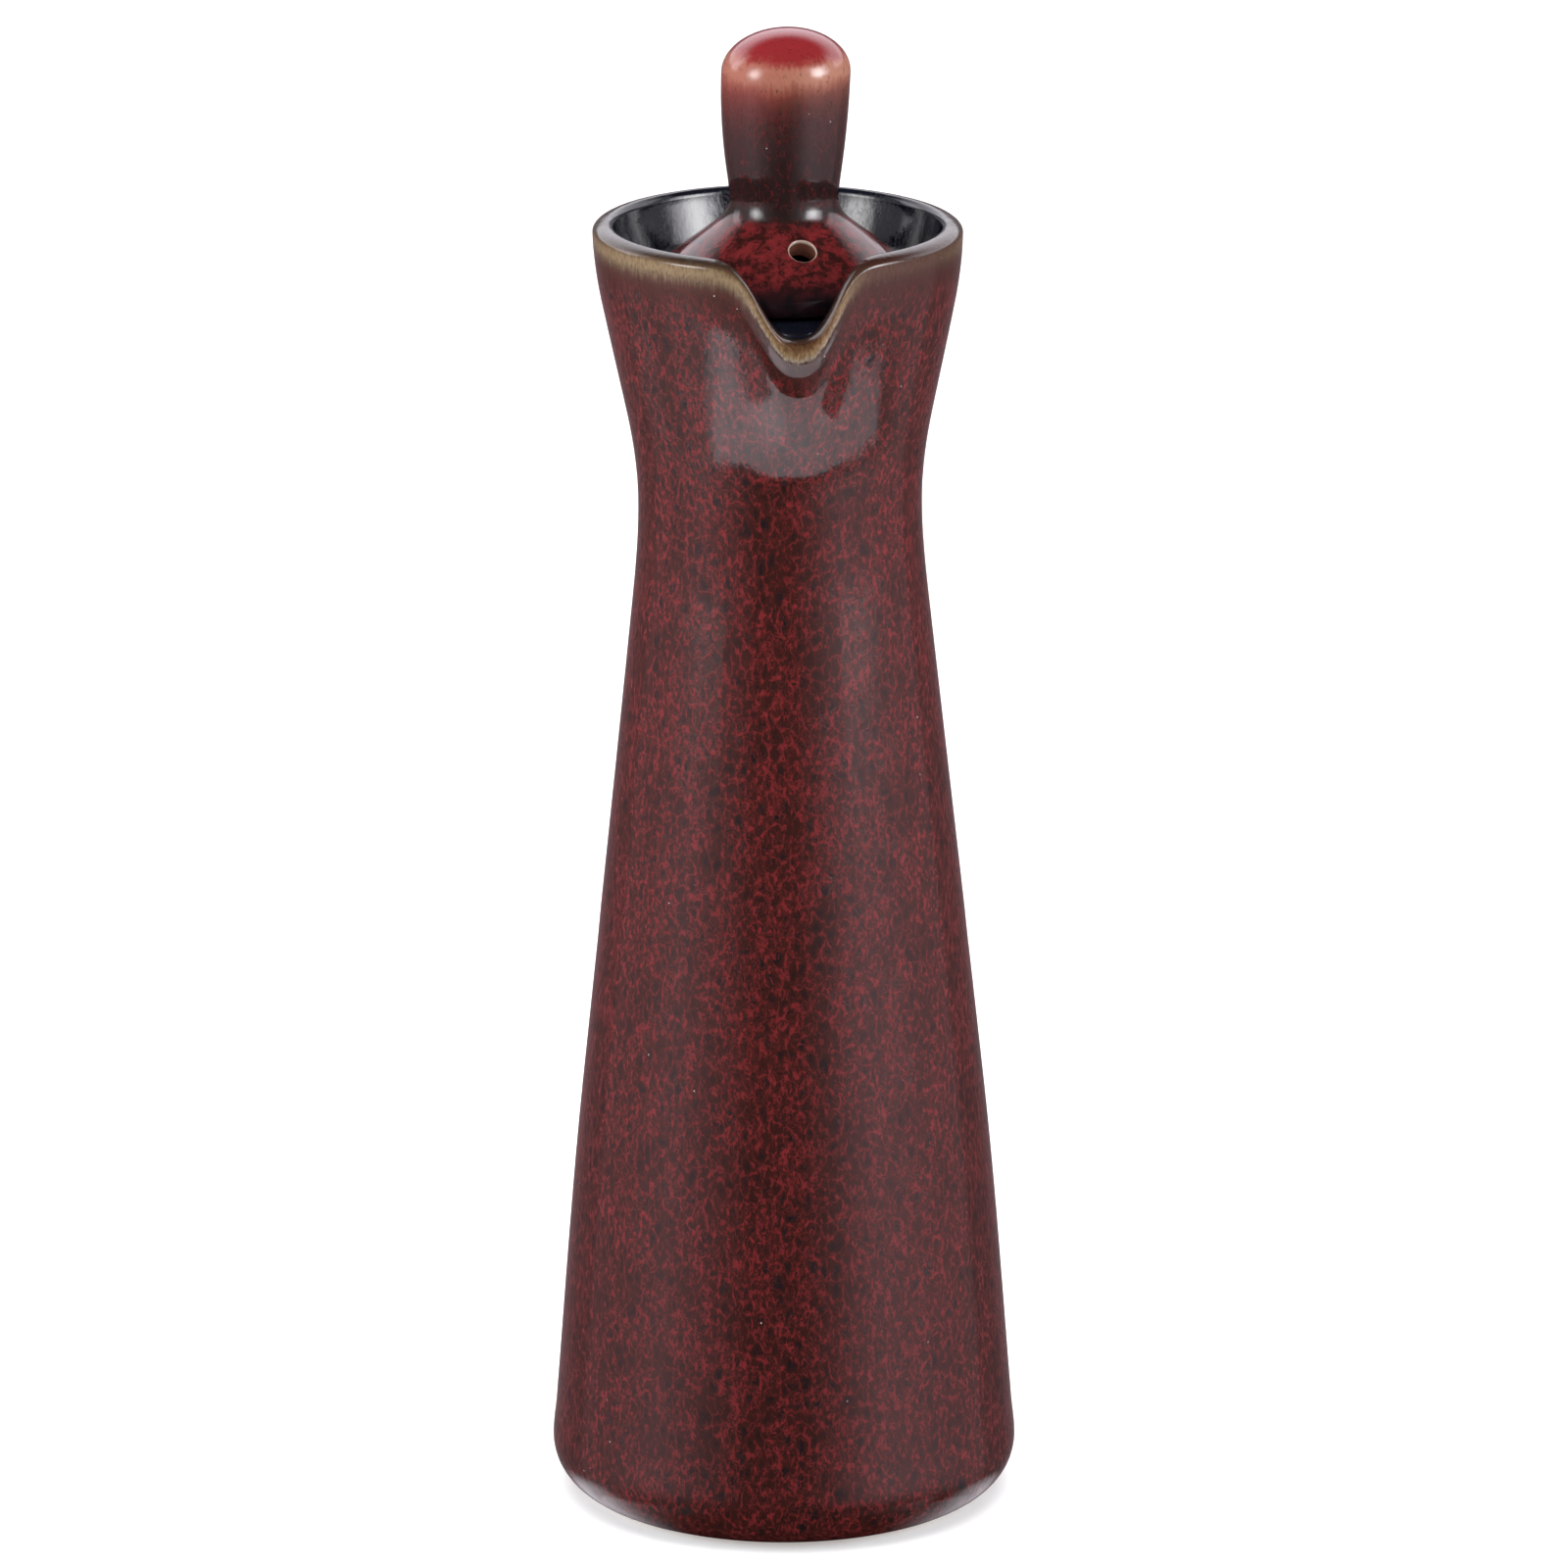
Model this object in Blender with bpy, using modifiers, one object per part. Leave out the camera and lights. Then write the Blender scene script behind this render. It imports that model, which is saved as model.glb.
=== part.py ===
"""Sake bottle with a stopper lid.

Two glazed ceramic pieces: a tapering bottle with a drawn-in neck, a flared mouth and a V-shaped spout, and a
hollow lid with a tall knob that rests on a ledge inside the mouth.

Metres, +Z up. The origin is the centre of the foot, on the surface that the bottle stands on. The spout
points to -Y. The lid lifts off along +Z.
"""

import math

import bmesh
import bpy
from mathutils import Matrix, Vector

# Body: outer side as (height, radius, change of radius with height), from the rim down to the foot
SIDE_STATIONS = (
    (0.2064, 0.02905, 0.02),  # rim
    (0.1960, 0.02780, 0.20),  # flared mouth
    (0.1780, 0.02405, 0.205),
    (0.1635, 0.02242, 0.0),  # neck, the narrowest place
    (0.1450, 0.02380, -0.108),  # straight taper
    (0.0680, 0.03225, -0.108),
    (0.0140, 0.03695, -0.08),  # foot swelling
    (0.0080, 0.03750, 0.0),
)
SIDE_SPANS = (6, 5, 4, 3, 3, 3, 1)  # divisions between one station and the next
NECK_HEIGHT = 0.1635
WALL = 0.0040
FLOOR_TOP = 0.0065
FLOOR_CORNER = 0.0070
FOOT_ROUND = 0.0080
FOOT_RING_WIDTH = 0.0050
FOOT_RECESS = 0.0018
RECESS_CHAMFER = 0.0008

# Body: mouth, rim and the ledge that the lid rests on
RIM_TOP = 0.2077
RIM_CREST_RADIUS = 0.0266
MOUTH_RADIUS = 0.0256
MOUTH_ROUND_DROP = 0.0012
LEDGE_HEIGHT = 0.1970
LEDGE_OUTER_RADIUS = 0.0230
THROAT_RADIUS = 0.0182
THROAT_START = 0.1780
LEDGE_ROUND = 0.0008
LEAN = 0.0010  # how far the hand-finished mouth stands off the foot's axis, towards -X
BACK_RISE = 0.0010  # how much higher the mouth's back is than its front

# Body: spout
NOTCH_DEPTH = 0.0120
NOTCH_HALF_WIDTH = 0.0069
NOTCH_SHARPNESS = 2.6
NOTCH_ROOT = 0.1690  # outside, the wall is pressed down from here
NOTCH_FULL = 0.2030  # and fully from here
POUCH_ROOT = 0.1720  # outside, the pouch below the lip swells from here
POUCH_CREST = 0.1980  # to here
POUCH_REACH = 0.0014
POUCH_HALF_WIDTH = 0.0110
LIP_REACH = 0.0006  # how far the lip stands out from the rim's circle, without its bead
LIP_BEAD = 0.0011
LIP_BEAD_START = 0.2015
LIP_BEAD_FULL = 0.2045
BEAD_NOTCH_START = 0.02  # the bead fades out where the notch is shallower than this share of its depth
BEAD_NOTCH_FULL = 0.50

# Lid: radii, and heights above the face that rests on the ledge
SEAT_GAP = 0.0003
KNOB_TOP = 0.0417
KNOB_DOME = 0.0068
KNOB_RADIUS = 0.0101
KNOB_LOWER_RADIUS = 0.0090
KNOB_LOWER_HEIGHT = 0.0192
KNOB_LOWER_TAPER = 0.14
KNOB_FOOT_RADIUS = 0.0086
KNOB_FOOT_FILLET = 0.0050
KNOB_LEAN = 0.0006  # how far the hand-finished knob leans, towards +X
SHOULDER_RADIUS = 0.0215
SHOULDER_EDGE_HEIGHT = 0.0021
SHOULDER_ROUND = 0.0015
SHOULDER_SLOPE = math.radians(37.5)
FLANGE_ROUND = 0.0006
PLUG_RADIUS = 0.0164
PLUG_LENGTH = 0.0133
PLUG_WALL = 0.0034
HOLLOW_KNOB_RADIUS = 0.0052
HOLLOW_KNOB_TOP = 0.0350
HOLLOW_ROOF_DROP = 0.0043  # the hollow's sloping roof, straight below the shoulder

# Lid: the pouring hole through the shoulder
HOLE_RADIUS = 0.0024
HOLE_REACH = 0.0134
HOLE_TURN = math.radians(6.5)  # from the spout towards +X
HOLE_CUTTER_LENGTH = 0.0120

BODY_STEPS = 72
LID_STEPS = 40
MERGE_DISTANCE = 0.00001
SHARP_ANGLE = math.radians(50.0)

BODY_GLAZE = (0.105, 0.010, 0.012, 1.0)
LID_GLAZE = (0.150, 0.014, 0.016, 1.0)
GLAZE_ROUGHNESS = 0.08


def smooth_step(value, low, high):
    """0 below low, 1 above high, and a smooth rise between them."""
    t = min(1.0, max(0.0, (value - low) / (high - low)))
    return t * t * (3.0 - 2.0 * t)


def hermite(top, bottom, share):
    """The (radius, height) at a share of the way down from one side station to the next."""
    top_height, top_radius, top_slope = top
    low_height, low_radius, low_slope = bottom
    fall = low_height - top_height
    t2 = share * share
    t3 = t2 * share
    radius = (
        (2.0 * t3 - 3.0 * t2 + 1.0) * top_radius
        + (t3 - 2.0 * t2 + share) * fall * top_slope
        + (3.0 * t2 - 2.0 * t3) * low_radius
        + (t3 - t2) * fall * low_slope
    )
    return radius, top_height + share * fall


def side_radius(height):
    """The outer radius of the turned body at a height between the foot and the rim."""
    for top, bottom in zip(SIDE_STATIONS, SIDE_STATIONS[1:]):
        if height >= bottom[0]:
            share = (height - top[0]) / (bottom[0] - top[0])
            return hermite(top, bottom, max(0.0, share))[0]
    return SIDE_STATIONS[-1][1]


def arc(centre, radii, start, end, steps):
    """Points along an ellipse's arc, both ends included; angles in degrees from +radius, towards +height."""
    points = []
    for i in range(steps + 1):
        angle = math.radians(start + (end - start) * i / steps)
        points.append((centre[0] + radii[0] * math.cos(angle), centre[1] + radii[1] * math.sin(angle)))
    return points


def body_outline():
    """The body's section as (radius, height): up the inside, over the rim and down the outside."""
    corner_height = FLOOR_TOP + FLOOR_CORNER
    corner_radius = side_radius(corner_height) - WALL - FLOOR_CORNER
    inside = [(0.0, FLOOR_TOP)]
    inside += arc((corner_radius, corner_height), (FLOOR_CORNER, FLOOR_CORNER), -90.0, 0.0, 3)
    wall_spans = 6
    for i in range(1, wall_spans + 1):
        height = corner_height + (NECK_HEIGHT - corner_height) * i / wall_spans
        inside.append((side_radius(height) - WALL, height))
    inside.append((THROAT_RADIUS, THROAT_START))
    ledge_centre = (THROAT_RADIUS + LEDGE_ROUND, LEDGE_HEIGHT - LEDGE_ROUND)
    inside += arc(ledge_centre, (LEDGE_ROUND, LEDGE_ROUND), 180.0, 90.0, 1)
    inside.append((LEDGE_OUTER_RADIUS, LEDGE_HEIGHT))

    lip_width = RIM_CREST_RADIUS - MOUTH_RADIUS
    lip_centre = (RIM_CREST_RADIUS, RIM_TOP - MOUTH_ROUND_DROP)
    lip = arc(lip_centre, (lip_width, MOUTH_ROUND_DROP), 180.0, 90.0, 2)
    rim_height, rim_radius, _ = SIDE_STATIONS[0]
    brow_radii = (rim_radius - RIM_CREST_RADIUS, RIM_TOP - rim_height)
    lip += arc((RIM_CREST_RADIUS, rim_height), brow_radii, 90.0, 0.0, 3)[1:]

    outside = []
    for top, bottom, spans in zip(SIDE_STATIONS, SIDE_STATIONS[1:], SIDE_SPANS):
        outside += [hermite(top, bottom, i / spans) for i in range(1, spans + 1)]
    foot_height, foot_radius, _ = SIDE_STATIONS[-1]
    ring_outer = foot_radius - FOOT_ROUND
    outside += arc((ring_outer, foot_height), (FOOT_ROUND, foot_height), 0.0, -90.0, 4)[1:]
    ring_inner = ring_outer - FOOT_RING_WIDTH
    outside.append((ring_inner, 0.0))
    outside.append((ring_inner - RECESS_CHAMFER, FOOT_RECESS))
    outside.append((0.0, FOOT_RECESS))
    return inside + lip + outside


def lid_outline():
    """The lid's section as (radius, height above its seat): down the outside and up the hollow inside."""
    dome_centre = (0.0, KNOB_TOP - KNOB_DOME)
    outside = arc(dome_centre, (KNOB_RADIUS, KNOB_DOME), 90.0, 0.0, 6)

    slope_sin = math.sin(SHOULDER_SLOPE)
    slope_cos = math.cos(SHOULDER_SLOPE)
    edge_centre = (SHOULDER_RADIUS - SHOULDER_ROUND, SHOULDER_EDGE_HEIGHT)
    edge_top = (edge_centre[0] + SHOULDER_ROUND * slope_sin, edge_centre[1] + SHOULDER_ROUND * slope_cos)
    fillet_foot = KNOB_FOOT_RADIUS + KNOB_FOOT_FILLET * (1.0 - slope_sin)
    fillet_rise = (edge_top[0] - fillet_foot) * math.tan(SHOULDER_SLOPE)
    fillet_centre = (
        KNOB_FOOT_RADIUS + KNOB_FOOT_FILLET,
        edge_top[1] + fillet_rise + KNOB_FOOT_FILLET * slope_cos,
    )
    knob_stations = (
        (dome_centre[1], KNOB_RADIUS, 0.0),
        (KNOB_LOWER_HEIGHT, KNOB_LOWER_RADIUS, KNOB_LOWER_TAPER),
        (fillet_centre[1], KNOB_FOOT_RADIUS, 0.0),
    )
    for top, bottom, spans in zip(knob_stations, knob_stations[1:], (4, 2)):
        outside += [hermite(top, bottom, i / spans) for i in range(1, spans + 1)]
    slope_degrees = math.degrees(SHOULDER_SLOPE)
    fillet_radii = (KNOB_FOOT_FILLET, KNOB_FOOT_FILLET)
    outside += arc(fillet_centre, fillet_radii, 180.0, 270.0 - slope_degrees, 4)[1:]
    outside += arc(edge_centre, (SHOULDER_ROUND, SHOULDER_ROUND), 90.0 - slope_degrees, 0.0, 3)
    flange_centre = (SHOULDER_RADIUS - FLANGE_ROUND, FLANGE_ROUND)
    outside += arc(flange_centre, (FLANGE_ROUND, FLANGE_ROUND), 0.0, -90.0, 1)

    plug_inner = PLUG_RADIUS - PLUG_WALL
    roof_height = edge_top[1] - HOLLOW_ROOF_DROP
    roof_foot = roof_height + (edge_top[0] - plug_inner) * math.tan(SHOULDER_SLOPE)
    roof_top = roof_height + (edge_top[0] - HOLLOW_KNOB_RADIUS) * math.tan(SHOULDER_SLOPE)
    outside.append((PLUG_RADIUS, 0.0))
    plug_end = ((PLUG_RADIUS + plug_inner) / 2.0, PLUG_WALL / 2.0 - PLUG_LENGTH)
    outside += arc(plug_end, (PLUG_WALL / 2.0, PLUG_WALL / 2.0), 0.0, -180.0, 4)
    inside = [(plug_inner, roof_foot), (HOLLOW_KNOB_RADIUS, roof_top)]
    knob_hollow = (0.0, HOLLOW_KNOB_TOP - HOLLOW_KNOB_RADIUS)
    inside += arc(knob_hollow, (HOLLOW_KNOB_RADIUS, HOLLOW_KNOB_RADIUS), 0.0, 90.0, 3)
    return outside + inside


def glaze(name, colour):
    material = bpy.data.materials.new(name)
    material.use_nodes = True
    shader = material.node_tree.nodes["Principled BSDF"]
    shader.inputs["Base Color"].default_value = colour
    shader.inputs["Roughness"].default_value = GLAZE_ROUGHNESS
    shader.inputs["Metallic"].default_value = 0.0
    return material


def turned(name, outline, steps, collection):
    """One mesh object, turned about Z from an outline whose two ends lie on the axis."""
    mesh = bpy.data.meshes.new(name)
    points = [(max(radius, 0.0), 0.0, height) for radius, height in outline]
    points[0] = (0.0, 0.0, points[0][2])
    points[-1] = (0.0, 0.0, points[-1][2])
    mesh.from_pydata(points, [(i, i + 1) for i in range(len(points) - 1)], [])
    piece = bpy.data.objects.new(name, mesh)
    collection.objects.link(piece)
    screw = piece.modifiers.new("turn", "SCREW")
    screw.axis = "Z"
    screw.steps = steps
    screw.render_steps = steps
    screw.use_merge_vertices = True
    screw.merge_threshold = MERGE_DISTANCE
    evaluated = piece.evaluated_get(bpy.context.evaluated_depsgraph_get())
    solid = bpy.data.meshes.new_from_object(evaluated)
    piece.modifiers.clear()
    piece.data = solid
    solid.name = name
    bpy.data.meshes.remove(mesh)
    return piece


def press_spout(mesh):
    """Presses the V-shaped notch into the rim at -Y, with a beaded lip and the wall swollen to a pouch below it."""
    rim_height = SIDE_STATIONS[0][0]
    for vertex in mesh.vertices:
        x, y, z = vertex.co
        if y >= 0.0 or z <= NOTCH_ROOT:
            continue
        radius = math.hypot(x, y)
        wall_middle = RIM_CREST_RADIUS if z > rim_height else side_radius(z) - WALL / 2.0
        if radius >= wall_middle - MERGE_DISTANCE:
            drop_share = smooth_step(z, NOTCH_ROOT, NOTCH_FULL)
            push = POUCH_REACH * smooth_step(z, POUCH_ROOT, POUCH_CREST)
            push += (LIP_REACH - POUCH_REACH) * smooth_step(z, POUCH_CREST, LIP_BEAD_FULL)
        else:
            drop_share = max(0.0, (z - LEDGE_HEIGHT) / (RIM_TOP - LEDGE_HEIGHT))
            push = LIP_REACH * drop_share
        notch = math.exp(-((abs(x) / NOTCH_HALF_WIDTH) ** NOTCH_SHARPNESS))
        swell = math.exp(-((x / POUCH_HALF_WIDTH) ** 2))
        bead = LIP_BEAD * smooth_step(notch, BEAD_NOTCH_START, BEAD_NOTCH_FULL)
        bead *= smooth_step(z, LIP_BEAD_START, LIP_BEAD_FULL)
        vertex.co.y = y - push * swell - bead
        vertex.co.z = z - NOTCH_DEPTH * notch * drop_share


def raise_back(mesh):
    """Lifts the mouth above the ledge, by nothing at -Y and fully at +Y."""
    for vertex in mesh.vertices:
        share = max(0.0, (vertex.co.z - LEDGE_HEIGHT) / (RIM_TOP - LEDGE_HEIGHT))
        vertex.co.z += BACK_RISE * share * max(0.0, 1.0 + vertex.co.y / RIM_CREST_RADIUS) / 2.0


def lean(mesh, amount, low, high):
    """Moves the vertices sideways, by nothing at low and by the amount at high."""
    for vertex in mesh.vertices:
        share = max(0.0, (vertex.co.z - low) / (high - low))
        vertex.co.x += amount * share * share


def make_body(collection):
    body = turned("bottle_body", body_outline(), BODY_STEPS, collection)
    press_spout(body.data)
    raise_back(body.data)
    lean(body.data, -LEAN, 0.0, RIM_TOP)
    body.data.materials.append(glaze("body_glaze", BODY_GLAZE))
    return body


def make_hole_cutter(collection):
    """A cylinder square to the lid's shoulder, where the pouring hole goes through it."""
    outward = Vector((math.sin(HOLE_TURN), -math.cos(HOLE_TURN), 0.0))
    edge_radius = SHOULDER_RADIUS - SHOULDER_ROUND * (1.0 - math.sin(SHOULDER_SLOPE))
    edge_height = SHOULDER_EDGE_HEIGHT + SHOULDER_ROUND * math.cos(SHOULDER_SLOPE)
    height = edge_height + (edge_radius - HOLE_REACH) * math.tan(SHOULDER_SLOPE)
    direction = outward * math.sin(SHOULDER_SLOPE) + Vector((0.0, 0.0, math.cos(SHOULDER_SLOPE)))
    place = outward * HOLE_REACH + Vector((0.0, 0.0, LEDGE_HEIGHT + SEAT_GAP + height))
    mesh = bpy.data.meshes.new("pouring_hole_cutter")
    form = bmesh.new()
    bmesh.ops.create_cone(
        form,
        cap_ends=True,
        segments=20,
        radius1=HOLE_RADIUS,
        radius2=HOLE_RADIUS,
        depth=HOLE_CUTTER_LENGTH,
        matrix=Matrix.Identity(4),
    )
    form.to_mesh(mesh)
    form.free()
    cutter = bpy.data.objects.new("pouring_hole_cutter", mesh)
    collection.objects.link(cutter)
    cutter.location = place
    cutter.rotation_euler = direction.to_track_quat("Z", "Y").to_euler()
    cutter.hide_render = True
    cutter.display_type = "WIRE"
    return cutter


def make_lid(collection, cutters):
    lid = turned("lid", lid_outline(), LID_STEPS, collection)
    lean(lid.data, KNOB_LEAN, KNOB_LOWER_HEIGHT, KNOB_TOP)
    lid.data.materials.append(glaze("lid_glaze", LID_GLAZE))
    lid.location.z = LEDGE_HEIGHT + SEAT_GAP
    hole = lid.modifiers.new("pouring_hole", "BOOLEAN")
    hole.operation = "DIFFERENCE"
    hole.solver = "EXACT"
    hole.object = make_hole_cutter(cutters)
    return lid


def main():
    for existing in list(bpy.data.objects):
        bpy.data.objects.remove(existing, do_unlink=True)
    parts = bpy.data.collections.new("sake_bottle")
    cutters = bpy.data.collections.new("cutters")
    for collection in (parts, cutters):
        bpy.context.scene.collection.children.link(collection)
    for piece in (make_body(parts), make_lid(parts, cutters)):
        piece.data.shade_smooth()
        piece.data.set_sharp_from_angle(angle=SHARP_ANGLE)


main()
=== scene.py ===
"""Looks for the sake bottle: fine glazed surfaces for the body and the lid, in a pale studio.

Shapes are in metres, glaze patterns in millimetres. The spout faces -Y, and +X is to the right of it.
"""

import math

import bmesh
import bpy
from mathutils import Matrix, Vector, noise


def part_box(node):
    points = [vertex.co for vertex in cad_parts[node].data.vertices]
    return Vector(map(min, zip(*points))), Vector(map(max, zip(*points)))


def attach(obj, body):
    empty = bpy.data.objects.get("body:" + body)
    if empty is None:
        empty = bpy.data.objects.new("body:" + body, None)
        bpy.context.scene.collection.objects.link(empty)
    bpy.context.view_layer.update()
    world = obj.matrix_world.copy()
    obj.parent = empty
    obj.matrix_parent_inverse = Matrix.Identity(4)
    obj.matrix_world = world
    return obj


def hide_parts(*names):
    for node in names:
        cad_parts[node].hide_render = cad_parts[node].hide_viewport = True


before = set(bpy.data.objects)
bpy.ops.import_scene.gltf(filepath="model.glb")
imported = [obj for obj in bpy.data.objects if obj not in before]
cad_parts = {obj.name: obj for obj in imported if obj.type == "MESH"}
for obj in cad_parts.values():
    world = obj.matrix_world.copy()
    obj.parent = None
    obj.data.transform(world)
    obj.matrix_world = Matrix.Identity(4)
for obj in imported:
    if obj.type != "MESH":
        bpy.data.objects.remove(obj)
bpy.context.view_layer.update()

BODY_LOW, BODY_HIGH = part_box("bottle_body")
LID_LOW, LID_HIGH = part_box("lid")

MM = 0.001
MERGE_DISTANCE = 0.00001
SMOOTH_ANGLE = math.radians(50.0)

# Body, as in the CAD frame: outer side as (height, radius, change of radius with height), rim to foot
FOOT_RADIUS = (BODY_HIGH.x - BODY_LOW.x) / 2.0
BACK_RISE = 0.0010
RIM_TOP = 0.2077
SIDE_STATIONS = (
    (RIM_TOP - 0.0013, 0.02905, 0.02),
    (0.1960, 0.02780, 0.20),
    (0.1780, 0.02405, 0.205),
    (0.1635, 0.02242, 0.0),
    (0.1450, 0.02380, -0.108),
    (0.0680, 0.03225, -0.108),
    (0.0140, 0.03695, -0.08),
    (0.0080, FOOT_RADIUS, 0.0),
)
SIDE_SPANS = (28, 28, 14, 10, 16, 14, 6)
INSIDE_SPANS = 20
MOUTH_WALL_SPANS = 6
FLOOR_CORNER_STEPS = 8
LEDGE_STEPS = 5
MOUTH_ROUND_STEPS = 8
BROW_STEPS = 12
FOOT_ROUND_STEPS = 14
NECK_HEIGHT = 0.1635
WALL = 0.0040
FLOOR_TOP = 0.0065
FLOOR_CORNER = 0.0070
FOOT_ROUND = 0.0080
FOOT_RING_WIDTH = 0.0050
FOOT_RECESS = 0.0018
RECESS_CHAMFER = 0.0008
RIM_CREST_RADIUS = 0.0266
MOUTH_RADIUS = 0.0256
MOUTH_ROUND_DROP = 0.0012
LEDGE_HEIGHT = 0.1970
LEDGE_OUTER_RADIUS = 0.0230
LEDGE_FILLET = 0.0012
THROAT_RADIUS = 0.0182
THROAT_START = 0.1780
LEDGE_ROUND = 0.0008
LEAN = 0.0010

NOTCH_DEPTH = 0.0120
NOTCH_HALF_WIDTH = 0.0069
NOTCH_SHARPNESS = 2.6
NOTCH_ROOT = 0.1690
NOTCH_FULL = 0.2030
POUCH_ROOT = 0.1720
POUCH_CREST = 0.1980
POUCH_REACH = 0.0014
POUCH_HALF_WIDTH = 0.0110
LIP_REACH = 0.0006
LIP_BEAD = 0.0011
LIP_BEAD_START = 0.2015
LIP_BEAD_FULL = 0.2045
BEAD_NOTCH_START = 0.02  # how much of the notch's depth the bead starts at
BEAD_NOTCH_FULL = 0.50

# Lid: radii, and heights above the face that rests on the ledge
LID_SEAT = LEDGE_HEIGHT + 0.0003
KNOB_TOP = LID_HIGH.z - LID_SEAT
KNOB_DOME = 0.0068
KNOB_RADIUS = 0.0101
KNOB_LOWER_RADIUS = 0.0090
KNOB_LOWER_HEIGHT = 0.0192
KNOB_LOWER_TAPER = 0.14
KNOB_FOOT_RADIUS = 0.0086
KNOB_FOOT_FILLET = 0.0050
KNOB_LEAN = 0.0006
SHOULDER_RADIUS = (LID_HIGH.x - LID_LOW.x) / 2.0
SHOULDER_EDGE_HEIGHT = 0.0021
SHOULDER_ROUND = 0.0015
SHOULDER_SLOPE = math.radians(37.5)
FLANGE_ROUND = 0.0006
PLUG_RADIUS = 0.0164
PLUG_LENGTH = LID_SEAT - LID_LOW.z
PLUG_WALL = 0.0034
HOLLOW_KNOB_RADIUS = 0.0052
HOLLOW_KNOB_TOP = 0.0350
HOLLOW_ROOF_DROP = 0.0043
HOLE_RADIUS = 0.0021
HOLE_ROUND = 0.0003
HOLE_REACH = 0.0134
HOLE_TURN = math.radians(6.5)
DOME_STEPS = 24
KNOB_SPANS = (18, 8)
KNOB_FILLET_STEPS = 12
SHOULDER_SPANS = 12
SHOULDER_EDGE_STEPS = 8
FLANGE_STEPS = 4
PLUG_END_STEPS = 12
HOLLOW_TOP_STEPS = 8

# The rod that cuts the pouring hole reaches from above the shoulder into the lid's hollow
CUTTER_TOP = 0.0040
CUTTER_END = -0.0065
CUTTER_FLARE = 1.3
CUTTER_ROUND_START = 80.0
CUTTER_ROUND_STEPS = 8
CUTTER_STEPS = 64

BODY_STEPS = 256
LID_STEPS = 160
GLAZE_SWELL = 0.00010  # how unevenly the glaze lies, in from the turned shape
BROAD_SWELL = (0.016, 0.040)  # width and height of its broad and of its small waves
SMALL_SWELL = (0.005, 0.009)
BROAD_SHARE = 0.4
SMALL_SHARE = 0.1

# Camera, where the photographer stood: a little to the left of the spout, seen from the front
CAMERA_DISTANCE = 1.380
CAMERA_HEIGHT = 0.499
CAMERA_AZIMUTH = math.radians(-6.0)
CAMERA_PITCH = math.radians(15.476)
CAMERA_LENS = 206.4
CAMERA_SENSOR = 36.0
FRONT = Vector((math.sin(CAMERA_AZIMUTH), -math.cos(CAMERA_AZIMUTH), 0.0))
SIDEWAYS = Vector((math.cos(CAMERA_AZIMUTH), math.sin(CAMERA_AZIMUTH), 0.0))


def smooth_step(value, low, high):
    t = min(1.0, max(0.0, (value - low) / (high - low)))
    return t * t * (3.0 - 2.0 * t)


def hermite(top, bottom, share):
    """The (radius, height) at a share of the way down a smooth span between two stations."""
    top_height, top_radius, top_slope = top
    low_height, low_radius, low_slope = bottom
    fall = low_height - top_height
    t2 = share * share
    t3 = t2 * share
    radius = (
        (2.0 * t3 - 3.0 * t2 + 1.0) * top_radius
        + (t3 - 2.0 * t2 + share) * fall * top_slope
        + (3.0 * t2 - 2.0 * t3) * low_radius
        + (t3 - t2) * fall * low_slope
    )
    return radius, top_height + share * fall


def side_radius(height):
    for top, bottom in zip(SIDE_STATIONS, SIDE_STATIONS[1:]):
        if height >= bottom[0]:
            share = (height - top[0]) / (bottom[0] - top[0])
            return hermite(top, bottom, max(0.0, share))[0]
    return SIDE_STATIONS[-1][1]


def arc(centre, radii, start, end, steps):
    """Points of an elliptical arc, with its two ends in degrees."""
    points = []
    for i in range(steps + 1):
        angle = math.radians(start + (end - start) * i / steps)
        along = centre[0] + radii[0] * math.cos(angle)
        points.append((along, centre[1] + radii[1] * math.sin(angle)))
    return points


def line(start, end, steps):
    """Points from start to end, the start left out."""
    return [
        tuple(start[k] + (end[k] - start[k]) * i / steps for k in (0, 1)) for i in range(1, steps + 1)
    ]


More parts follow.
